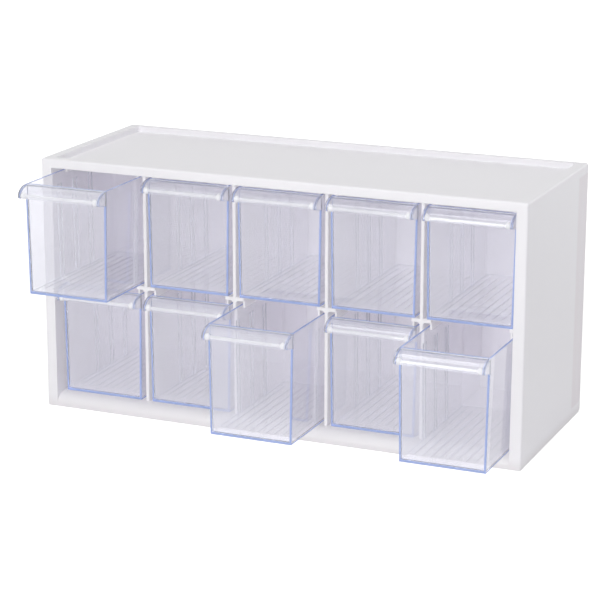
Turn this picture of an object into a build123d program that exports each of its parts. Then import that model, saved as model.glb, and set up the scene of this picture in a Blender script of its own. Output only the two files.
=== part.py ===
from build123d import *
import os

# Tabletop small-parts cabinet: a white moulded casing with five columns and two rows of
# clear pull-out drawers.  Millimetres.  The origin is the centre of the casing's base,
# +X to the viewer's right, +Y towards the back, +Z up.  The drawers open towards -Y.

# ---------------------------------------------------------------- driving dimensions
# casing
CASE_WIDTH = 330.0
CASE_DEPTH = 128.0
CASE_HEIGHT = 168.0
COLUMNS = 5
SIDE_WALL = 7.5  # stile width, and the full thickness of the hollow side walls
SKIN = 2.2  # moulded wall thickness
TOP_BAND = 6.0  # height of the front band above the drawers
TRAY_DEPTH = 4.0  # the top is a shallow tray inside a raised rim
RIM_FRONT = 6.0
RIM_REAR = 5.0
TRAY_CORNER = 2.0
DECK_HEIGHT = 9.0  # top of the deck that the lower drawers run on
FRAME_RETURN = 11.3  # depth of the front frame behind the front plane
FRAME_STEP = 0.4  # the bays are this much wider behind the frame, each side
NOSE_DEPTH = 9.0  # front-to-back size of the bottom rail's rounded nose
NOSE_FLUSH = 2.6  # height at which the nose comes flush with the front plane
EDGE_RADIUS = 1.5
FOOT_RADIUS = 4.0  # rounding of the lower rear edge
FRONT_SKIRT = 12.0  # depth of the solid front rail at the base
REAR_SKIRT = 6.0
UNDER_RIB = 2.0  # thickness of the ribs under the deck

# partitions and runner rails
PARTITION = 2.4
PARTITION_SETBACK = 9.5  # front edge of partitions and rails behind the front plane
PARTITION_GROOVE = 0.8
PARTITION_PLAY = 0.1
PARTITION_ROUND = 0.8
RAIL_THICKNESS = 2.4
RAIL_REACH = 5.3
LIP_DROP = 4.6
LIP_THICKNESS = 1.4
LIP_GAP = 0.9  # front end of a lip behind a closed drawer's front panel
RAIL_FILLET = 0.8

# back panel
BACK_THICKNESS = 2.2
BACK_INSET = 0.2
BACK_PLAY = 0.2
BACK_ROUND = 0.5
BACK_LEDGE = 1.4  # width of the casing's edge left round the back panel
FLANGE_DEPTH = 22.0  # the back panel's side flanges reach this far into the hollow walls

# drawers
DRAWER_RECESS = 8.7  # closed front panel behind the casing's front plane
DRAWER_TOP_GAP = 3.0  # between a drawer's top edge and the rails or the top above it
DRAWER_SIDE_GAP = 1.75  # each side at the top edge
DRAWER_DRAFT = 1.1  # each side, from the top edge down to the base
DRAWER_REAR_DRAFT = 1.0
DRAWER_REAR_GAP = 0.6  # between a closed drawer and the back panel
RUNNING_GAP = 0.3  # under each drawer
FRONT_PANEL = 2.0
DRAWER_WALL = 1.4
DRAWER_FLOOR = 1.8
REAR_CORNER = 3.0
REAR_NOTCH = 4.0  # the rear wall stops this far below the top edge, clear of the lips
SLOT_FIRST = 41.0  # divider slots on the side walls, measured from the front face
SLOT_PITCH = 20.5
SLOT_COUNT = 3
SLOT_WIDTH = 3.2
SLOT_RIB = 1.2
SLOT_RIB_PROUD = 0.6
SLOT_RIB_TOP = 8.0  # the slot ribs stop this far below the top edge
FLOOR_RIB_COUNT = 9
FLOOR_RIB_PITCH = 5.6
FLOOR_RIB_WIDTH = 1.0
FLOOR_RIB_HEIGHT = 0.3
FLOOR_RIB_MARGIN = 9.0
RIB_ROOT = 0.5  # the ribs reach this far into the wall or floor that they stand on

# handle lip along the top of each front panel
HANDLE_REACH = 10.0
HANDLE_DROP = 6.8
HANDLE_THICKNESS = 1.4
HANDLE_EDGE = 2.0  # the lip thickens to this at its rounded lower edge
CHEEK_THICKNESS = 1.4
CHEEK_PROUD = 0.5  # the end cheeks stand this far outside the curved lip
CHEEK_DROP = 9.7
CHEEK_TIP = 0.9

# how far the open drawers are drawn out
UPPER_1_OPEN = 45.0
LOWER_3_OPEN = 44.5
LOWER_5_OPEN = 45.5

QUARTER_TURN = 90  # degrees
CUT_CLEAR = 1.0  # open-ended cuts run this far past the outside

# ---------------------------------------------------------------- places that follow
FRONT = -CASE_DEPTH / 2
REAR = CASE_DEPTH / 2
INNER_WIDTH = CASE_WIDTH - 2 * SIDE_WALL
BAY_WIDTH = (INNER_WIDTH - (COLUMNS - 1) * PARTITION) / COLUMNS
COLUMN_PITCH = BAY_WIDTH + PARTITION
OPENING_TOP = CASE_HEIGHT - TOP_BAND
TRAY_FLOOR = CASE_HEIGHT - TRAY_DEPTH
DRAWER_SPACE = OPENING_TOP - DECK_HEIGHT - RAIL_THICKNESS
DRAWER_HEIGHT = DRAWER_SPACE / 2 - RUNNING_GAP - DRAWER_TOP_GAP
RAIL_HEIGHT = DECK_HEIGHT + DRAWER_SPACE / 2 + RAIL_THICKNESS  # top face of the upper row's rails
BACK_SHOULDER = REAR - BACK_THICKNESS - BACK_INSET  # the back panel's inner face
BACK_BOTTOM = DECK_HEIGHT - SKIN
PARTITION_FRONT = FRONT + PARTITION_SETBACK
LIP_FRONT = FRONT + DRAWER_RECESS + FRONT_PANEL + LIP_GAP
LIP_OUTER = BAY_WIDTH / 2 - RAIL_REACH  # from a bay's middle plane
DRAWER_LENGTH = BACK_SHOULDER - DRAWER_REAR_GAP - (FRONT + DRAWER_RECESS)
HALF_TOP = BAY_WIDTH / 2 - DRAWER_SIDE_GAP
HALF_BASE = HALF_TOP - DRAWER_DRAFT
ROW_BASE = {"lower": DECK_HEIGHT + RUNNING_GAP, "upper": RAIL_HEIGHT + RUNNING_GAP}
OPEN_BY = {("upper", 1): UPPER_1_OPEN, ("lower", 3): LOWER_3_OPEN, ("lower", 5): LOWER_5_OPEN}


def bay_centre(column):
    """X of a bay's middle plane; columns count from 1 at the left."""
    return (column - (COLUMNS + 1) / 2) * COLUMN_PITCH


def partition_centre(number):
    """X of a partition's middle plane; partition n stands right of column n."""
    return bay_centre(number) + COLUMN_PITCH / 2


def block(x0, x1, y0, y1, z0, z1):
    """A rectangular block between two corners."""
    size = Box(x1 - x0, y1 - y0, z1 - z0)
    return Pos((x0 + x1) / 2, (y0 + y1) / 2, (z0 + z1) / 2) * size


def side_profile(outline, x0, x1):
    """A closed outline of edges drawn in (Y, Z), carried from x0 to x1."""
    face = Plane.YZ * make_face(outline)
    return Pos(x0, 0, 0) * extrude(face, x1 - x0, dir=(1, 0, 0))


def front_profile(points, y0, y1):
    """A closed polygon drawn in (X, Z), carried from y0 to y1."""
    corners = [Vector(x, y0, z) for x, z in points]
    face = make_face(Polyline(*corners, close=True))
    return extrude(face, y1 - y0, dir=(0, 1, 0))


def front_upper_arc(centre, reach, rise):
    """A quarter of an ellipse in (Y, Z), from straight above the centre to straight in front."""
    return EllipticalCenterArc(
        centre, reach, rise, start_angle=QUARTER_TURN, arc_size=QUARTER_TURN
    )


# ---------------------------------------------------------------- casing
def casing_shell():
    """The outer block with its rounded edges."""
    body = block(-CASE_WIDTH / 2, CASE_WIDTH / 2, FRONT, REAR, 0, CASE_HEIGHT)
    foot = body.edges().filter_by(Axis.X).sort_by(Axis.Z)[:2].sort_by(Axis.Y)[-1]
    body = fillet(foot, FOOT_RADIUS)
    uprights = body.edges().filter_by(Axis.Z)
    body = fillet(uprights, EDGE_RADIUS)
    rim = body.faces().sort_by(Axis.Z)[-1].edges()
    return fillet(rim, EDGE_RADIUS)


def tray_cut():
    """The shallow tray in the top, inside the raised rim."""
    length = CASE_DEPTH - RIM_FRONT - RIM_REAR
    middle = (RIM_FRONT - RIM_REAR) / 2
    outline = RectangleRounded(INNER_WIDTH, length, TRAY_CORNER)
    return Pos(0, middle, TRAY_FLOOR) * extrude(outline, TRAY_DEPTH)


def opening_cut():
    """The room for the drawers, with the rounded nose of the bottom rail left standing."""
    nose_height = DECK_HEIGHT - NOSE_FLUSH
    nose_centre = (FRONT + NOSE_DEPTH, NOSE_FLUSH)
    nose = front_upper_arc(nose_centre, NOSE_DEPTH, nose_height)
    clear = FRONT - EDGE_RADIUS
    way = [
        (FRONT, NOSE_FLUSH),
        (clear, NOSE_FLUSH),
        (clear, OPENING_TOP),
        (BACK_SHOULDER, OPENING_TOP),
        (BACK_SHOULDER, DECK_HEIGHT),
        (FRONT + NOSE_DEPTH, DECK_HEIGHT),
    ]
    outline = [nose] + [Line(a, b) for a, b in zip(way, way[1:])]
    half = INNER_WIDTH / 2
    wide = half + FRAME_STEP
    behind = block(-wide, wide, FRONT + FRAME_RETURN, BACK_SHOULDER, DECK_HEIGHT, OPENING_TOP)
    return side_profile(outline, -half, half) + behind


def back_rebate_cut():
    """The seat of the back panel."""
    half = CASE_WIDTH / 2 - BACK_LEDGE
    top = CASE_HEIGHT - BACK_LEDGE - SKIN
    return block(-half, half, BACK_SHOULDER, REAR + CUT_CLEAR, BACK_BOTTOM, top)


def wall_core_cuts():
    """The hollow inside each side wall, moulded from the back."""
    outside = CASE_WIDTH / 2 - SKIN
    inside = INNER_WIDTH / 2 + SKIN
    top = OPENING_TOP - SKIN
    right = block(inside, outside, FRONT + FRONT_SKIRT, REAR, DECK_HEIGHT, top)
    return right + mirror(right, Plane.YZ)


def underside_cuts():
    """The recesses under the deck, between a cross rib and a rib below each partition."""
    half_cell = COLUMN_PITCH / 2 - UNDER_RIB / 2
    top = DECK_HEIGHT - SKIN
    cells = []
    for column in range(1, COLUMNS + 1):
        x = bay_centre(column)
        front_cell = (FRONT + FRONT_SKIRT, -UNDER_RIB / 2)
        rear_cell = (UNDER_RIB / 2, REAR - REAR_SKIRT)
        for y0, y1 in (front_cell, rear_cell):
            cells.append(block(x - half_cell, x + half_cell, y0, y1, 0, top))
    return cells


def partition_groove_cuts():
    """Grooves in the deck and under the top that hold the partitions."""
    half = PARTITION / 2 + PARTITION_PLAY
    low = DECK_HEIGHT - PARTITION_GROOVE
    high = OPENING_TOP + PARTITION_GROOVE
    cuts = []
    for number in range(1, COLUMNS):
        x = partition_centre(number)
        cuts.append(block(x - half, x + half, PARTITION_FRONT, BACK_SHOULDER, low, DECK_HEIGHT))
        cuts.append(block(x - half, x + half, PARTITION_FRONT, BACK_SHOULDER, OPENING_TOP, high))
    return cuts


def top_lips():
    """Lips under the top wall that keep the upper drawers level when they are drawn out."""
    lips = []
    for column in range(1, COLUMNS + 1):
        for side in (-1, 1):
            edges = sorted(side * x for x in (LIP_OUTER, LIP_OUTER + LIP_THICKNESS))
            x0, x1 = (bay_centre(column) + edge for edge in edges)
            z0 = OPENING_TOP - LIP_DROP
            lips.append(block(x0, x1, LIP_FRONT, BACK_SHOULDER, z0, OPENING_TOP + SKIN / 2))
    return lips


def rail_arm(wall_x, side):
    """One runner rail on a wall face at wall_x, reaching to +X (side 1) or -X (side -1)."""
    root = wall_x - side * RAIL_FILLET
    tip = wall_x + side * RAIL_REACH
    low = RAIL_HEIGHT - RAIL_THICKNESS
    shelf = [
        (root, RAIL_HEIGHT),
        (tip, RAIL_HEIGHT),
        (tip, low),
        (wall_x + side * RAIL_FILLET, low),
        (root, low - 2 * RAIL_FILLET),
    ]
    arm = front_profile(shelf, PARTITION_FRONT, BACK_SHOULDER)
    x0, x1 = sorted((tip - side * LIP_THICKNESS, tip))
    lip = block(x0, x1, LIP_FRONT, BACK_SHOULDER, low - LIP_DROP, RAIL_HEIGHT - RAIL_THICKNESS / 2)
    return arm + lip


def make_casing():
    """The casing in one piece, with rails on its side walls and lips under its top."""
    body = casing_shell() - tray_cut() - opening_cut() - back_rebate_cut() - wall_core_cuts()
    for cut in underside_cuts() + partition_groove_cuts():
        body -= cut
    half = INNER_WIDTH / 2
    return body + top_lips() + rail_arm(-half, 1) + rail_arm(half, -1)


# ---------------------------------------------------------------- partitions
def make_partition():
    """A partition with a rail on each side, standing at x = 0."""
    half = PARTITION / 2
    low = DECK_HEIGHT - PARTITION_GROOVE
    high = OPENING_TOP + PARTITION_GROOVE - PARTITION_PLAY
    web = block(-half, half, PARTITION_FRONT, BACK_SHOULDER, low, high)
    front_edges = web.edges().filter_by(Axis.Z).sort_by(Axis.Y)[:2]
    web = fillet(front_edges, PARTITION_ROUND)
    return web + rail_arm(half, 1) + rail_arm(-half, -1)


# ---------------------------------------------------------------- back panel
def make_back_panel():
    """The flat back, seated in the casing's rebate, with flanges into the hollow side walls."""
    half = CASE_WIDTH / 2 - BACK_LEDGE - BACK_PLAY
    low = BACK_BOTTOM + BACK_PLAY
    high = CASE_HEIGHT - BACK_LEDGE - SKIN - BACK_PLAY
    panel = block(-half, half, BACK_SHOULDER, BACK_SHOULDER + BACK_THICKNESS, low, high)
    panel = fillet(panel.faces().sort_by(Axis.Y)[-1].edges(), BACK_ROUND)
    inside = INNER_WIDTH / 2 + SKIN + BACK_PLAY
    outside = CASE_WIDTH / 2 - SKIN - BACK_PLAY
    y0 = BACK_SHOULDER - FLANGE_DEPTH
    y1 = BACK_SHOULDER + BACK_THICKNESS / 2
    flange_low = DECK_HEIGHT + BACK_PLAY
    flange_high = OPENING_TOP - SKIN - BACK_PLAY
    flange = block(inside, outside, y0, y1, flange_low, flange_high)
    return panel + flange + mirror(flange, Plane.YZ)


# ---------------------------------------------------------------- drawers
def drawer_half_width(z):
    """Half the outside width of a drawer at a height above its base."""
    return HALF_BASE + DRAWER_DRAFT * z / DRAWER_HEIGHT


def drawer_rear(z):
    """Y of a drawer's rear face at a height above its base; its front face is at y = 0."""
    return DRAWER_LENGTH - DRAWER_REAR_DRAFT * (1 - z / DRAWER_HEIGHT)


def drawer_section(z, inset_front, inset, rear_corner):
    """A level section of the drawer, drawn in from its outside by the given insets."""
    half = drawer_half_width(z) - inset
    y0 = inset_front
    y1 = drawer_rear(z) - inset
    section = Pos(0, (y0 + y1) / 2) * Rectangle(2 * half, y1 - y0)
    return Pos(0, 0, z) * fillet(section.vertices().sort_by(Axis.Y)[-2:], rear_corner)


def drawer_tub():
    """The drawer's tapered box, open at the top, with the rear wall cut down."""
    outer = [drawer_section(z, 0, 0, REAR_CORNER) for z in (0, DRAWER_HEIGHT)]
    inner_corner = REAR_CORNER - DRAWER_WALL
    inner = [
        drawer_section(z, FRONT_PANEL, DRAWER_WALL, inner_corner)
        for z in (DRAWER_FLOOR, DRAWER_HEIGHT)
    ]
    tub = loft(outer) - loft(inner)
    notch_front = DRAWER_LENGTH - DRAWER_WALL - REAR_CORNER
    notch_rear = DRAWER_LENGTH + CUT_CLEAR
    notch_low = DRAWER_HEIGHT - REAR_NOTCH
    notch_high = DRAWER_HEIGHT + CUT_CLEAR
    wide = BAY_WIDTH / 2
    return tub - block(-wide, wide, notch_front, notch_rear, notch_low, notch_high)


def slot_rib(side, y):
    """One upright rib on a side wall's inner face; it follows the wall's draft."""
    low = DRAWER_FLOOR - RIB_ROOT
    high = DRAWER_HEIGHT - SLOT_RIB_TOP
    low_face = drawer_half_width(low) - DRAWER_WALL
    high_face = drawer_half_width(high) - DRAWER_WALL
    points = [
        (side * (low_face - SLOT_RIB_PROUD), low),
        (side * (high_face - SLOT_RIB_PROUD), high),
        (side * (high_face + RIB_ROOT), high),
        (side * (low_face + RIB_ROOT), low),
    ]
    return front_profile(points, y - SLOT_RIB / 2, y + SLOT_RIB / 2)


def drawer_ribs():
    """The divider-slot ribs on both side walls and the fine ribs along the floor."""
    ribs = []
    for number in range(SLOT_COUNT):
        middle = SLOT_FIRST + number * SLOT_PITCH
        spread = (SLOT_WIDTH + SLOT_RIB) / 2
        for side in (-1, 1):
            ribs.append(slot_rib(side, middle - spread))
            ribs.append(slot_rib(side, middle + spread))
    y0 = FRONT_PANEL + FLOOR_RIB_MARGIN
    y1 = drawer_rear(0) - DRAWER_WALL - FLOOR_RIB_MARGIN
    top = DRAWER_FLOOR + FLOOR_RIB_HEIGHT
    for number in range(FLOOR_RIB_COUNT):
        x = (number - (FLOOR_RIB_COUNT - 1) / 2) * FLOOR_RIB_PITCH
        half = FLOOR_RIB_WIDTH / 2
        ribs.append(block(x - half, x + half, y0, y1, DRAWER_FLOOR - RIB_ROOT, top))
    return ribs


def visor_arc(inset, edge_inset):
    """The handle lip's curved line, drawn in from the cheeks' edge at its top and its lower edge."""
    centre = (0, DRAWER_HEIGHT - HANDLE_DROP)
    reach = HANDLE_REACH - edge_inset
    drop = HANDLE_DROP - inset
    return front_upper_arc(centre, reach, drop)


def drawer_handle():
    """The curved lip along the top of the front panel, with a cheek at each end."""
    root = FRONT_PANEL / 2
    top = DRAWER_HEIGHT
    low = DRAWER_HEIGHT - HANDLE_DROP

    outer = visor_arc(CHEEK_PROUD, CHEEK_PROUD)
    inner = visor_arc(CHEEK_PROUD + HANDLE_THICKNESS, CHEEK_PROUD + HANDLE_EDGE)
    round_centre = ((outer @ 1) + (inner @ 1)) / 2
    rounded = ThreePointArc(outer @ 1, round_centre - Vector(0, HANDLE_EDGE / 2), inner @ 1)
    way = [inner @ 0, (root, (inner @ 0).Y), (root, (outer @ 0).Y), outer @ 0]
    lip_outline = [outer, rounded, inner] + [Line(a, b) for a, b in zip(way, way[1:])]
    half = HALF_TOP - CHEEK_THICKNESS / 2
    lip = side_profile(lip_outline, -half, half)

    edge = visor_arc(0, 0)
    tip = (-HANDLE_REACH + CHEEK_TIP, low - CHEEK_TIP)
    corners = [edge @ 1, tip, (0, top - CHEEK_DROP), (root, top - CHEEK_DROP), (root, top), edge @ 0]
    cheek_outline = [edge] + [Line(a, b) for a, b in zip(corners, corners[1:])]
    right = side_profile(cheek_outline, HALF_TOP - CHEEK_THICKNESS, HALF_TOP)
    left = side_profile(cheek_outline, -HALF_TOP, -HALF_TOP + CHEEK_THICKNESS)
    return lip + right + left


def make_drawer():
    """One clear drawer, its front face at y = 0 and its base at z = 0."""
    return drawer_tub() + drawer_ribs() + drawer_handle()


# ---------------------------------------------------------------- assembly
def assemble():
    """Every piece in its place, by name."""
    pieces = {"casing": make_casing(), "back_panel": make_back_panel()}
    partition = make_partition()
    for number in range(1, COLUMNS):
        pieces[f"partition_{number}"] = Pos(partition_centre(number), 0, 0) * partition
    drawer = make_drawer()
    for row, base in ROW_BASE.items():
        for column in range(1, COLUMNS + 1):
            y = FRONT + DRAWER_RECESS - OPEN_BY.get((row, column), 0)
            pieces[f"drawer_{row}_{column}"] = Pos(bay_centre(column), y, base) * drawer
    return pieces


os.makedirs("parts", exist_ok=True)
for name, piece in assemble().items():
    piece.label = name
    export_step(piece, f"parts/{name}.step")
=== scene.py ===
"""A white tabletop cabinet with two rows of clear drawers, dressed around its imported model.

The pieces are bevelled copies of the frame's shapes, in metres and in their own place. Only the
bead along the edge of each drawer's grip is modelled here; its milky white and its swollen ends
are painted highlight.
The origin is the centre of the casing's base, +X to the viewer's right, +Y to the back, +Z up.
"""

import math

import bmesh
import bpy
from bpy.props import FloatProperty, FloatVectorProperty, IntProperty, PointerProperty
from mathutils import Matrix, Vector


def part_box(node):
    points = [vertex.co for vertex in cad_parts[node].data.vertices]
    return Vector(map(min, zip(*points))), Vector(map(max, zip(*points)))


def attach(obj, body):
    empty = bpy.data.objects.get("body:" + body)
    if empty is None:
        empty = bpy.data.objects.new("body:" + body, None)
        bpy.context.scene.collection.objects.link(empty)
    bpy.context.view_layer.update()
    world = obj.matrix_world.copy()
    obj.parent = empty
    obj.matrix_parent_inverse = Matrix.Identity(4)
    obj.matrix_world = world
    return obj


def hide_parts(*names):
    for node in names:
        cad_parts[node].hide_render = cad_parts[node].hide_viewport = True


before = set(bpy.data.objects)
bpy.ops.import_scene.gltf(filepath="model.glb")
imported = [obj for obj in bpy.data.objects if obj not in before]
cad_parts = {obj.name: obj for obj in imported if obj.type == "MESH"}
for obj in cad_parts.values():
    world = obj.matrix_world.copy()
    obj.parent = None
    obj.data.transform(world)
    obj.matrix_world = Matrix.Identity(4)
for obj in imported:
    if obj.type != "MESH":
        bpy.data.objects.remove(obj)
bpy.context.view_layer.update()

bl_info = {
    "name": "Clear-Drawer Cabinet",
    "version": (1, 0, 0),
    "blender": (4, 5, 0),
    "location": "View3D > Sidebar > Cabinet",
    "description": "Finishes a white tabletop cabinet with two rows of clear drawers",
    "category": "Object",
}

MM = 0.001
CABINET_BODY = "cabinet"
PARTITIONS = sorted(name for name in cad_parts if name.startswith("partition"))
DRAWERS = sorted(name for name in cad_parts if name.startswith("drawer"))
CASING_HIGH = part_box("casing")[1]

# the white mouldings
WHITE_INDEX = 1.55  # index of refraction
# painted shade: the side walls are darkened in a band where the back panel's flanges stand behind
# them
SKIN_DEPTH = 2.2 * MM  # a side wall's outer skin, on which the painted shade over the flanges lies
SKIN_BLUR = 1 * MM
FLANGE_DEPTH = 21 * MM  # how far the back panel's flanges reach forwards
FLANGE_BLUR = (2.5 * MM, 1.5 * MM)  # before and behind their front edges
FLANGE_FOOT = 8 * MM  # their lower edge, above the floor
FLANGE_FOOT_BLUR = 0.6 * MM
FLANGE_TOP = CASING_HIGH[2] - 6 * MM  # their upper edge
FLANGE_TOP_BLUR = 0.8 * MM
# colour of the painted shade over the flanges
FLANGE_SHADE_TONE = (0.93, 0.897, 0.905, 1)
FOOT_HEIGHT = 9 * MM  # painted shade: the casing is darkened below this, towards the floor
FOOT_SHADE_TONE = (0.90, 0.885, 0.88, 1)

# the clear mouldings
EDGE, RIB = 1, 2  # a drawer's materials after that of its walls: painted blue edge light and painted pale rib light
CLEAR_ROUGHNESS = 0.02
CLEAR_DRIFT = 0.02  # how far the roughness varies
EDGE_CLEARNESS = 0.25
RIB_CLEARNESS = 0.55
# painted highlight: the bead and its swollen ends are milky so that they read white
BEAD_HIGHLIGHT_CLEARNESS = 0.45
KNOB_HIGHLIGHT_CLEARNESS = 0.2
DRAFT = 1.1 * MM  # a drawer is this much narrower at its base, each side
GRIP_REACH = 10 * MM  # a drawer's front panel behind the front of its grip
GRIP_ROOM = 12.5 * MM  # how far the grip and the front panel reach back
GRIP_DROP = 6.8 * MM  # the grip's lower edge below the drawer's top
GRIP_SETBACK = 1.5 * MM  # the bead's axis behind the front of the cheeks
CHEEK = 1.4 * MM  # thickness of the cheeks at the ends of the grip
EDGE_ZONE = 0.3 * MM  # rounded edges this close to the rim, foot or rear are outer ones
FRONT_FOOT = 3 * MM  # rounded edges of the front panel are outer ones below this
FRONT_FLAT = 0.05 * MM  # faces this close to the front panel's outer plane lie in it
SIDE_FLAT = 1.2 * MM  # faces this close to a drawer's widest point are its outer sides
# painted highlight: the bead's swollen ends stand in for the highlights in the grip's inner
# corners
KNOB_SHIFT = (0, 0.6 * MM, 0.9 * MM)  # the bead's ends sit a little up and back
KNOB_HEIGHT = 1.2  # they are taller than deep by this much
KNOB_STEPS = 8  # edges along each end of the bead
BEAD_STEPS = 16  # faces around the bead

# how faces and edges are told apart
MERGE = 0.001 * MM
COPLANAR = math.radians(0.2)  # faces that turn by less are made one
SHARP = math.radians(30)  # edges that turn by more are rounded
CREASED = math.radians(60)  # edges that turn by more are shaded sharp
FACING = 0.95  # part of a flat face's normal along the axis that it faces
SIDEWAYS = 0.3  # part of a rounded edge's normal along X where it runs up the front
FLAT_WEIGHT = 100  # how far flat faces outweigh the rounded edges in shading

# the stage
BOUNCES = 48  # enough for a look through every clear wall in a row
DIFFUSE_BOUNCES = 16
FLOOR_REACH = 6.0  # half its width
FLOOR_ROUGHNESS = 0.9
LAMPS_AIM = (0, 0, 80 * MM)
SENSOR_WIDTH = 36  # in millimetres, as the lens
CLIP_START = 10 * MM


# ---------------------------------------------------------------- settings
class CabinetFinish(bpy.types.PropertyGroup):
    """The white mouldings."""

    colour: FloatVectorProperty(
        name="White", description="Colour of the white plastic", subtype="COLOR",
        size=3, min=0, max=1, default=(0.940, 0.928, 0.957),
    )
    roughness: FloatProperty(
        name="Roughness", description="Satin roughness of the white plastic",
        subtype="FACTOR", min=0, max=1, default=0.38,
    )
    edge: FloatProperty(
        name="Edge radius", description="Radius of the moulded edges",
        unit="LENGTH", min=0, default=0.3 * MM,
    )
    segments: IntProperty(
        name="Edge segments", description="Faces across each rounded edge",
        min=1, max=6, default=2,
    )


class DrawerFinish(bpy.types.PropertyGroup):
    """The clear mouldings."""

    index: FloatProperty(
        name="Refraction", description="Index of refraction of the clear plastic",
        min=1, max=2, default=1.5,
    )
    clearness: FloatProperty(
        name="Clearness", description="How much of the light goes through the clear walls",
        subtype="FACTOR", min=0, max=1, default=0.86,
    )
    haze: FloatVectorProperty(
        name="Haze", description="Colour of the faint milkiness in the clear walls",
        subtype="COLOR", size=3, min=0, max=1, default=(0.945, 0.946, 0.982),
    )
    edge: FloatProperty(
        name="Edge radius", description="Radius of the moulded edges",
        unit="LENGTH", min=0, default=0.2 * MM,
    )
    segments: IntProperty(
        name="Edge segments", description="Faces across each rounded edge",
        min=1, max=6, default=2,
    )
    # painted light: the blue that light picks up running lengthwise through the clear plastic,
    # painted on rims, edges and stripes
    painted_edge_light: FloatVectorProperty(
        name="Edge tint", description="Colour that gathers along the rims and edges",
        subtype="COLOR", size=3, min=0, max=1, default=(0.40, 0.51, 0.90),
    )
    # painted light: pale bluish lines on the ribs' rounded edges, in place of how light runs
    # through them
    painted_rib_light: FloatVectorProperty(
        name="Rib tint", description="Colour along the edges of the ribs and inner corners",
        subtype="COLOR", size=3, min=0, max=1, default=(0.84, 0.87, 0.97),
    )
    # painted light: blue stripes where the front lets one see along the side walls and floor
    # inside the plastic
    side_stripe: FloatProperty(
        name="Front side stripe", description="Width of the blue stripe up each side of the front",
        unit="LENGTH", min=0, default=1.25 * MM,
    )
    foot_stripe: FloatProperty(
        name="Front foot stripe", description="Height of the blue stripe along the front's foot",
        unit="LENGTH", min=0, default=1.7 * MM,
    )
    side_foot: FloatProperty(
        name="Side foot stripe", description="Height of the blue stripe along each side's foot",
        unit="LENGTH", min=0, default=1.1 * MM,
    )
    bead: FloatProperty(
        name="Grip bead", description="Radius of the bead along the grip's lower edge",
        unit="LENGTH", min=0, default=0.75 * MM,
    )
    knob: FloatProperty(
        name="Grip knob", description="Radius of the swelling at each end of the bead",
        unit="LENGTH", min=0, default=1.9 * MM,
    )
    # painted highlight: milky white of the bead and its ends, for the grip's highlight line
    bead_highlight_colour: FloatVectorProperty(
        name="Bead", description="Colour of the milky bead", subtype="COLOR",
        size=3, min=0, max=1, default=(0.95, 0.955, 0.985),
    )


class StudioSettings(bpy.types.PropertyGroup):
    """Camera, lamps and floor."""

    place: FloatVectorProperty(
        name="Camera place", description="Where the camera stands", subtype="TRANSLATION",
        size=3, unit="LENGTH", default=(0.5404, -1.2781, 0.4569),
    )
    yaw: FloatProperty(
        name="Yaw", description="Turn of the camera to the left", subtype="ANGLE",
        default=math.radians(23.28),
    )
    pitch: FloatProperty(
        name="Pitch", description="How far the camera looks down", subtype="ANGLE",
        default=math.radians(15.407),
    )
    roll: FloatProperty(
        name="Roll", description="Tilt of the camera", subtype="ANGLE",
        default=math.radians(0.08),
    )
    lens: FloatProperty(
        name="Lens", description="Focal length in millimetres on a 36 mm sensor",
        min=10, default=131.6,
    )
    sky: FloatProperty(
        name="Sky light", description="Strength of the even light from all around",
        min=0, default=0.16,
    )
    floor_colour: FloatVectorProperty(
        name="Floor", description="Colour of the floor", subtype="COLOR",
        size=3, min=0, max=1, default=(0.9, 0.9, 0.905),
    )
    glow: FloatProperty(
        name="Floor white", description="How much white the floor adds near the object, as seen",
        min=0, max=1, default=0.55,
    )
    near: FloatProperty(
        name="White from", description="Distance at which the floor starts to turn white",
        unit="LENGTH", min=0, default=0.25,
    )
    far: FloatProperty(
        name="White at", description="Distance at which the floor is all white",
        unit="LENGTH", min=0, default=1.1,
    )


# ---------------------------------------------------------------- node tools
def add(tree, kind, inputs=None, **attributes):
    """A node of a kind; each input named is given its value or linked to an output."""
    node = tree.nodes.new(kind)
    for name, value in attributes.items():
        setattr(node, name, value)
    for name, value in (inputs or {}).items():
        if isinstance(value, bpy.types.NodeSocket):
            tree.links.new(value, node.inputs[name])
        else:
            node.inputs[name].default_value = value
    return node


def fresh_material(name):
    """An empty node material and its tree."""
    material = bpy.data.materials.new(name)
    material.use_nodes = True
    material.node_tree.nodes.clear()
    return material, material.node_tree


def spread(tree, place, scale, detail, roughness):
    """Noise around 0."""
    noise = add(tree, "ShaderNodeTexNoise", {
        "Vector": place, "Scale": scale, "Detail": detail, "Roughness": roughness,
    })
    around = add(tree, "ShaderNodeMath", {0: noise.outputs["Fac"], 1: 0.5}, operation="SUBTRACT")
    return around.outputs[0]


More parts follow.
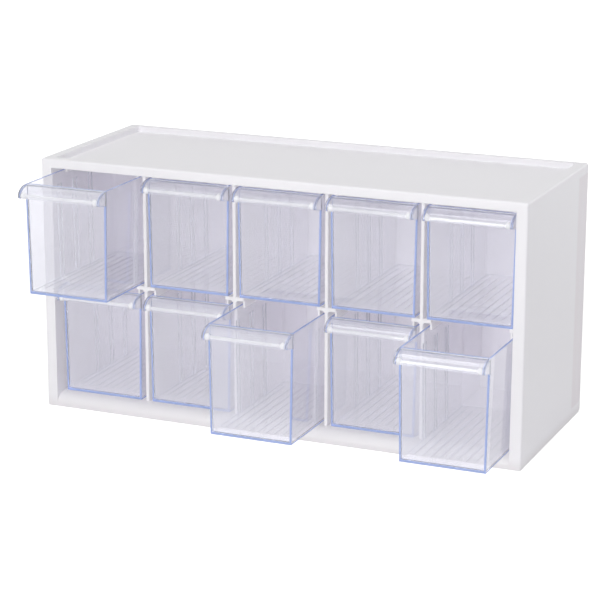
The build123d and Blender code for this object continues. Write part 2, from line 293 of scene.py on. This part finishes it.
def moulded_skin():
    """A shared effect: the faint mottle, roughness drift and fine grain of moulded plastic."""
    name = "moulded_skin"
    if name in bpy.data.node_groups:
        return bpy.data.node_groups[name]
    group = bpy.data.node_groups.new(name, "ShaderNodeTree")
    for label, kind, value in (
        ("Colour", "NodeSocketColor", (0.8, 0.8, 0.8, 1)),
        ("Mottle", "NodeSocketFloat", 0.02),
        ("Roughness", "NodeSocketFloat", 0.4),
        ("Drift", "NodeSocketFloat", 0.05),
        ("Grain Height", "NodeSocketFloat", 0.02),
        ("Grain Scale", "NodeSocketFloat", 900.0),
    ):
        socket = group.interface.new_socket(label, in_out="INPUT", socket_type=kind)
        socket.default_value = value
    for label, kind in (
        ("Colour", "NodeSocketColor"),
        ("Roughness", "NodeSocketFloat"),
        ("Normal", "NodeSocketVector"),
    ):
        group.interface.new_socket(label, in_out="OUTPUT", socket_type=kind)
    given = add(group, "NodeGroupInput").outputs
    place = add(group, "ShaderNodeTexCoord").outputs["Object"]

    mottle = spread(group, place, scale=18.0, detail=3.0, roughness=0.55)
    shade = add(group, "ShaderNodeMath", {
        0: mottle, 1: given["Mottle"], 2: 1.0,
    }, operation="MULTIPLY_ADD")
    tinted = add(group, "ShaderNodeVectorMath", {
        0: given["Colour"], "Scale": shade.outputs[0],
    }, operation="SCALE")

    smudges = spread(group, place, scale=55.0, detail=4.0, roughness=0.6)
    rough = add(group, "ShaderNodeMath", {
        0: smudges, 1: given["Drift"], 2: given["Roughness"],
    }, operation="MULTIPLY_ADD", use_clamp=True)

    grain = add(group, "ShaderNodeTexNoise", {
        "Vector": place, "Scale": given["Grain Scale"], "Detail": 2.0, "Roughness": 0.5,
    })
    bump = add(group, "ShaderNodeBump", {
        "Strength": given["Grain Height"], "Distance": 0.05 * MM, "Height": grain.outputs["Fac"],
    })
    add(group, "NodeGroupOutput", {
        "Colour": tinted.outputs[0],
        "Roughness": rough.outputs[0],
        "Normal": bump.outputs["Normal"],
    })
    return group


def ramp(tree, source, start, end, low=0.0, high=1.0):
    """A value that goes softly from low to high as the source goes from start to end."""
    node = add(tree, "ShaderNodeMapRange", {
        "Value": source, "From Min": start, "From Max": end, "To Min": low, "To Max": high,
    }, interpolation_type="SMOOTHSTEP")
    return node.outputs["Result"]


def overlay(tree, masks):
    """The product of several masks."""
    product = masks[0]
    for mask in masks[1:]:
        node = add(tree, "ShaderNodeMath", {0: product, 1: mask}, operation="MULTIPLY")
        product = node.outputs[0]
    return product


def shaded(tree, colour, mask, tone):
    """The colour, multiplied by the tone where the mask is 1."""
    node = add(tree, "ShaderNodeMix", {
        "Factor": mask, "A": colour, "B": tone,
    }, data_type="RGBA", blend_type="MULTIPLY")
    return node.outputs["Result"]


def seen_rays(tree):
    """1 for rays from the camera, through glass or off gloss, 0 for those that light things."""
    path = add(tree, "ShaderNodeLightPath")
    found = path.outputs["Is Camera Ray"]
    for kind in ("Is Transmission Ray", "Is Glossy Ray"):
        either = add(tree, "ShaderNodeMath", {
            0: found, 1: path.outputs[kind],
        }, operation="MAXIMUM")
        found = either.outputs[0]
    return found


# ---------------------------------------------------------------- plastics
def white_with_painted_shade(tree, white):
    """White, with painted shade: darker where the back panel's side strips stand behind the side
    walls, and darker towards the foot.
    """
    place = add(tree, "ShaderNodeTexCoord")
    split = add(tree, "ShaderNodeSeparateXYZ", {0: place.outputs["Object"]}).outputs
    across = add(tree, "ShaderNodeMath", {0: split["X"]}, operation="ABSOLUTE").outputs[0]
    skin = CASING_HIGH[0] - SKIN_DEPTH
    front = CASING_HIGH[1] - FLANGE_DEPTH
    # painted shade: a mask for the band over the back panel's flanges on the side walls
    flange_shade = overlay(tree, [
        ramp(tree, across, skin - SKIN_BLUR, skin),
        ramp(tree, split["Y"], front - FLANGE_BLUR[0], front + FLANGE_BLUR[1]),
        ramp(tree, split["Z"], FLANGE_FOOT - FLANGE_FOOT_BLUR, FLANGE_FOOT + FLANGE_FOOT_BLUR),
        ramp(tree, split["Z"], FLANGE_TOP + FLANGE_TOP_BLUR, FLANGE_TOP - FLANGE_TOP_BLUR),
    ])
    darker = shaded(tree, (*white, 1), flange_shade, FLANGE_SHADE_TONE)
    # painted shade towards the floor
    return shaded(tree, darker, ramp(tree, split["Z"], FOOT_HEIGHT, 0), FOOT_SHADE_TONE)


def white_plastic(finish):
    """Satin white moulded polystyrene, with painted shade on the side walls and towards the foot.
    """
    material, tree = fresh_material("white_plastic_with_painted_shade")
    skin = add(tree, "ShaderNodeGroup", {
        "Colour": white_with_painted_shade(tree, finish.colour), "Roughness": finish.roughness,
    }, node_tree=moulded_skin()).outputs
    surface = add(tree, "ShaderNodeBsdfPrincipled", {
        "Base Color": skin["Colour"],
        "Roughness": skin["Roughness"],
        "IOR": WHITE_INDEX,
        "Normal": skin["Normal"],
    })
    add(tree, "ShaderNodeOutputMaterial", {"Surface": surface.outputs[0]})
    return material


def plastic_of_drawers(finish, name, base, clearness):
    """Clear or milky polystyrene, which lets the light for what is behind it straight through."""
    material, tree = fresh_material(name)
    skin = add(tree, "ShaderNodeGroup", {
        "Roughness": CLEAR_ROUGHNESS, "Drift": CLEAR_DRIFT,
    }, node_tree=moulded_skin()).outputs
    surface = add(tree, "ShaderNodeBsdfPrincipled", {
        "Base Color": (*base, 1),
        "Roughness": skin["Roughness"],
        "IOR": finish.index,
        "Transmission Weight": clearness,
    })
    passing = add(tree, "ShaderNodeBsdfTransparent")
    path = add(tree, "ShaderNodeLightPath")
    blend = surface
    for kind in ("Is Shadow Ray", "Is Diffuse Ray"):
        blend = add(tree, "ShaderNodeMixShader", {
            0: path.outputs[kind], 1: blend.outputs[0], 2: passing.outputs[0],
        })
    add(tree, "ShaderNodeOutputMaterial", {"Surface": blend.outputs[0]})
    return material


# ---------------------------------------------------------------- pieces
def solid_copy(node):
    """The node's shape as one closed mesh with flat faces made whole."""
    work = bmesh.new()
    work.from_mesh(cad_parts[node].data)
    bmesh.ops.remove_doubles(work, verts=work.verts, dist=MERGE)
    bmesh.ops.dissolve_limit(work, angle_limit=COPLANAR, verts=work.verts, edges=work.edges)
    return work


def soften(work, finish):
    """Rounds every sharp edge and returns the new faces."""
    sharp = [edge for edge in work.edges if edge.is_manifold and edge.calc_face_angle() > SHARP]
    made = bmesh.ops.bevel(
        work, geom=sharp, offset=finish.edge, offset_type="OFFSET", segments=finish.segments,
        profile=0.5, affect="EDGES", clamp_overlap=False, material=-1,
    )
    return made["faces"]


def show(name, data):
    """An object with this data, in the scene."""
    holder = bpy.data.objects.new(name, data)
    bpy.context.scene.collection.objects.link(holder)
    return holder


def show_mesh(work, name, *materials):
    """Turns the work into an object in the scene."""
    mesh = bpy.data.meshes.new(name)
    work.to_mesh(mesh)
    work.free()
    for material in materials:
        mesh.materials.append(material)
    return show(name, mesh)


def finish_piece(work, name, *materials):
    """Turns the work into an object with smooth shading across its rounded edges."""
    piece = show_mesh(work, name, *materials)
    piece.data.shade_smooth()
    piece.data.set_sharp_from_angle(angle=CREASED)
    weighted = piece.modifiers.new("flat_faces_stay_flat", "WEIGHTED_NORMAL")
    weighted.mode = "FACE_AREA"
    weighted.weight = FLAT_WEIGHT
    weighted.keep_sharp = True
    return piece


def stand_for(piece, node, body):
    """Puts a finished copy in the place of its node."""
    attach(piece, body)
    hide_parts(node)


def dress_white(node, finish, material):
    """A softened copy of a white moulding."""
    work = solid_copy(node)
    soften(work, finish)
    piece = finish_piece(work, f"{node}_dressed", material)
    stand_for(piece, node, CABINET_BODY)


def outer_edge(face, low, high):
    """True on a drawer's outer edges and rims, which get the painted blue edge light, and not on
    its ribs.
    """
    middle = face.calc_center_median()
    if middle.z < low[2] + EDGE_ZONE:
        return True
    if middle.y < low[1] + GRIP_ROOM:
        return abs(face.normal.x) > SIDEWAYS or middle.z < low[2] + FRONT_FOOT
    return middle.z > high[2] - EDGE_ZONE or middle.y > high[1] - EDGE_ZONE


def top_rim(face, low, high, edge):
    """True on the flat top of a drawer's side and rear walls."""
    middle = face.calc_center_median()
    return (face.normal.z > FACING and middle.z > high[2] - edge
            and middle.y > low[1] + GRIP_ROOM)


def front_faces(work, low, high):
    """The flat outer faces of a drawer's front panel."""
    plane = low[1] + GRIP_REACH
    return [face for face in work.faces if face.normal.y < -FACING
            and abs(face.calc_center_median().y - plane) < FRONT_FLAT]


def side_faces(work, low, high):
    """The flat outer faces of a drawer's two sides."""
    middle = (low[0] + high[0]) / 2
    half = (high[0] - low[0]) / 2
    return [face for face in work.faces if abs(face.normal.x) > FACING
            and abs(face.calc_center_median().x - middle) > half - SIDE_FLAT]


def paint_past(cuts, find_faces, work, low, high):
    """Cuts the faces found along each plane, and paints the blue edge light on them where they lie
    past any.
    """
    for point, outward in cuts:
        faces = find_faces(work, low, high)
        around = dict.fromkeys(item for face in faces for item in (*face.edges, *face.verts))
        bmesh.ops.bisect_plane(
            work, geom=[*faces, *around], dist=MERGE, plane_co=point, plane_no=outward
        )
    for face in find_faces(work, low, high):
        centre = face.calc_center_median()
        if any((centre - point).dot(outward) > 0 for point, outward in cuts):
            face.material_index = EDGE


def paint_edge_light_stripes(work, low, high, finish):
    """Painted blue edge light in stripes along the foot and both sides of the front and the foot
    of each side.
    """
    down = Vector((0, 0, -1))
    middle = (low[0] + high[0]) / 2
    half = (high[0] - low[0]) / 2
    drop = high[2] - low[2]
    cuts = [(Vector((0, 0, low[2] + finish.foot_stripe)), down)]
    for side in (-1, 1):
        edge = Vector((middle + side * (half - finish.side_stripe), 0, high[2]))
        cuts.append((edge, Vector((side * drop, 0, -DRAFT)).normalized()))
    paint_past(cuts, front_faces, work, low, high)
    foot = Vector((0, 0, low[2] + finish.side_foot))
    paint_past([(foot, down)], side_faces, work, low, high)


def dress_drawer(node, finish, clear, blue, pale):
    """A softened copy of a drawer, with painted blue edge light on its rims and outer edges and
    painted pale light on its ribs.
    """
    low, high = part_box(node)
    work = solid_copy(node)
    rounded = soften(work, finish)
    work.normal_update()
    for face in rounded:
        face.material_index = EDGE if outer_edge(face, low, high) else RIB
    for face in work.faces:
        if top_rim(face, low, high, finish.edge):
            face.material_index = EDGE
    paint_edge_light_stripes(work, low, high, finish)
    piece = finish_piece(work, f"{node}_dressed", clear, blue, pale)
    stand_for(piece, node, node)


def bead_outline(finish, knob_at):
    """Places along a bead and its radius there, from one end to the other."""
    neck = math.pi - math.asin(finish.bead / finish.knob)
    turns = [neck * step / KNOB_STEPS for step in range(KNOB_STEPS + 1)]
    end = [(knob_at + finish.knob * math.cos(turn), finish.knob * math.sin(turn))
           for turn in turns]
    return [(-x, radius) for x, radius in end] + end[::-1]


def grip_bead_with_painted_highlight(node, finish, bead, end_highlight):
    """The bead along the lower edge of a drawer's grip, swollen at both ends; its milky white and
    the swollen ends are painted highlight.
    """
    low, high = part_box(node)
    knob_at = (high[0] - low[0]) / 2 - CHEEK - finish.knob
    knob_from = knob_at - finish.knob
    work = bmesh.new()
    points = [work.verts.new((x, 0, radius)) for x, radius in bead_outline(finish, knob_at)]
    lines = [work.edges.new(pair) for pair in zip(points, points[1:])]
    bmesh.ops.spin(
        work, geom=[*points, *lines], cent=(0, 0, 0), axis=(1, 0, 0), angle=math.tau,
        steps=BEAD_STEPS, use_merge=True,
    )
    bmesh.ops.remove_doubles(work, verts=work.verts, dist=MERGE)
    bmesh.ops.recalc_face_normals(work, faces=work.faces)
    ends = [vert for vert in work.verts if abs(vert.co.x) > knob_from]
    bmesh.ops.scale(work, verts=ends, vec=(1, 1, KNOB_HEIGHT))
    bmesh.ops.translate(work, verts=ends, vec=KNOB_SHIFT)
    # painted highlight: the swollen ends get the milkier material
    for face in work.faces:
        face.material_index = int(abs(face.calc_center_median().x) > knob_from)
    centre = ((low[0] + high[0]) / 2, low[1] + GRIP_SETBACK, high[2] - GRIP_DROP)
    bmesh.ops.translate(work, verts=work.verts, vec=centre)
    piece = finish_piece(work, f"{node}_bead", bead, end_highlight)
    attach(piece, node)


class CABINET_OT_white(bpy.types.Operator):
    """Build the white casing, its back panel and the partitions"""

    bl_idname = "cabinet.white_mouldings"
    bl_label = "White mouldings"

    def execute(self, context):
        finish = context.scene.cabinet_finish
        material = white_plastic(finish)
        for node in ["casing", "back_panel"] + PARTITIONS:
            dress_white(node, finish, material)
        return {"FINISHED"}


class CABINET_OT_drawers(bpy.types.Operator):
    """Build the clear drawers"""

    bl_idname = "cabinet.drawers"
    bl_label = "Clear drawers"

    def execute(self, context):
        finish = context.scene.drawer_finish
        clear, blue, pale, bead, end_highlight = (
            plastic_of_drawers(finish, name, base, clearness)
            for name, base, clearness in (
                ("clear_drawer_plastic", finish.haze, finish.clearness),
                # painted light: blue on rims, outer edges and stripes
                ("blue_drawer_edge", finish.painted_edge_light, EDGE_CLEARNESS),
                # painted light: pale lines on the ribs' rounded edges
                ("pale_drawer_rib", finish.painted_rib_light, RIB_CLEARNESS),
                # painted highlight: the milky bead along the grip's lower edge
                ("grip_bead_with_painted_highlight", finish.bead_highlight_colour, BEAD_HIGHLIGHT_CLEARNESS),
                # painted highlight: the milky swollen ends of the bead
                ("painted_highlight_grip_end", finish.bead_highlight_colour, KNOB_HIGHLIGHT_CLEARNESS),
            )
        )
        for node in DRAWERS:
            dress_drawer(node, finish, clear, blue, pale)
            grip_bead_with_painted_highlight(node, finish, bead, end_highlight)
        return {"FINISHED"}


# ---------------------------------------------------------------- studio
def floor_material(settings):
    """A pale floor that keeps the object's shadow and turns white further away."""
    material, tree = fresh_material("pale_floor")
    surface = add(tree, "ShaderNodeBsdfPrincipled", {
        "Base Color": (*settings.floor_colour, 1), "Roughness": FLOOR_ROUGHNESS,
    })
    place = add(tree, "ShaderNodeTexCoord")
    away = add(tree, "ShaderNodeVectorMath", {0: place.outputs["Object"]}, operation="LENGTH")
    white = ramp(tree, away.outputs["Value"], settings.near, settings.far, low=settings.glow)
    glow = add(tree, "ShaderNodeEmission", {
        "Strength": overlay(tree, [seen_rays(tree), white]),
    })
    both = add(tree, "ShaderNodeAddShader", {0: surface.outputs[0], 1: glow.outputs[0]})
    add(tree, "ShaderNodeOutputMaterial", {"Surface": both.outputs[0]})
    return material


def white_world(strength):
    """Even light from all around; white where the camera, glass or gloss sees it."""
    world = bpy.data.worlds.new("studio")
    world.use_nodes = True
    tree = world.node_tree
    tree.nodes.clear()
    level = add(tree, "ShaderNodeMapRange", {
        "Value": seen_rays(tree), "To Min": strength, "To Max": 1.0,
    })
    background = add(tree, "ShaderNodeBackground", {
        "Color": (1, 1, 1, 1), "Strength": level.outputs["Result"],
    })
    add(tree, "ShaderNodeOutputWorld", {"Surface": background.outputs[0]})
    return world


def lay_floor(settings):
    """A wide floor under the cabinet."""
    work = bmesh.new()
    bmesh.ops.create_grid(work, x_segments=1, y_segments=1, size=FLOOR_REACH)
    show_mesh(work, "floor", floor_material(settings))


def softbox(name, place, size, power, colour=(1, 1, 1)):
    """A square area lamp aimed at the cabinet."""
    lamp = bpy.data.lights.new(name, "AREA")
    lamp.color = colour
    lamp.shape = "SQUARE"
    lamp.size = size
    lamp.energy = power
    holder = show(name, lamp)
    holder.location = place
    aim = Vector(LAMPS_AIM) - Vector(place)
    holder.rotation_euler = aim.to_track_quat("-Z", "Y").to_euler()


def set_camera(settings):
    """The camera at the photograph's angle."""
    camera = bpy.data.cameras.new("camera")
    camera.lens = settings.lens
    camera.sensor_width = SENSOR_WIDTH
    camera.clip_start = CLIP_START
    holder = show("camera", camera)
    turn = Matrix.Rotation(settings.yaw, 4, "Z")
    tip = Matrix.Rotation(math.pi / 2 - settings.pitch, 4, "X")
    tilt = Matrix.Rotation(settings.roll, 4, "Z")
    holder.matrix_world = Matrix.Translation(settings.place) @ turn @ tip @ tilt
    bpy.context.scene.camera = holder


class CABINET_OT_studio(bpy.types.Operator):
    """Set the floor, the soft light and the camera"""

    bl_idname = "cabinet.studio"
    bl_label = "Studio"

    def execute(self, context):
        scene = context.scene
        settings = scene.studio_settings
        scene.view_settings.view_transform = "Standard"
        scene.world = white_world(settings.sky)
        scene.cycles.max_bounces = BOUNCES
        scene.cycles.diffuse_bounces = DIFFUSE_BOUNCES
        scene.cycles.glossy_bounces = BOUNCES
        scene.cycles.transmission_bounces = BOUNCES
        scene.cycles.transparent_max_bounces = BOUNCES
        lay_floor(settings)
        softbox("front", place=(-0.1, -2.3, 0.65), size=1.3, power=24.5)
        softbox("above", place=(0.0, -0.2, 2.0), size=1.5, power=16)
        softbox("right", place=(2.0, -0.6, 0.9), size=1.2, power=4.5, colour=(0.93, 0.92, 1.0))
        softbox("rear", place=(1.3, 2.1, 1.0), size=1.2, power=12)
        set_camera(settings)
        return {"FINISHED"}


class CABINET_PT_panel(bpy.types.Panel):
    """Everything that builds the cabinet"""

    bl_label = "Cabinet"
    bl_idname = "CABINET_PT_panel"
    bl_space_type = "VIEW_3D"
    bl_region_type = "UI"
    bl_category = "Cabinet"

    def draw(self, context):
        layout = self.layout
        for operator in OPERATORS:
            layout.operator(operator.bl_idname)
        for name in SETTINGS:
            group = getattr(context.scene, name)
            box = layout.box()
            for setting in group.__annotations__:
                box.prop(group, setting)


SETTINGS = {
    "cabinet_finish": CabinetFinish,
    "drawer_finish": DrawerFinish,
    "studio_settings": StudioSettings,
}
OPERATORS = (CABINET_OT_studio, CABINET_OT_white, CABINET_OT_drawers)
CLASSES = (*SETTINGS.values(), *OPERATORS, CABINET_PT_panel)


def register():
    for item in CLASSES:
        bpy.utils.register_class(item)
    for name, kind in SETTINGS.items():
        setattr(bpy.types.Scene, name, PointerProperty(type=kind))


def unregister():
    for name in SETTINGS:
        delattr(bpy.types.Scene, name)
    for item in reversed(CLASSES):
        bpy.utils.unregister_class(item)


def main():
    register()
    bpy.ops.cabinet.studio()
    bpy.ops.cabinet.white_mouldings()
    bpy.ops.cabinet.drawers()


if __name__ == "__main__":
    main()
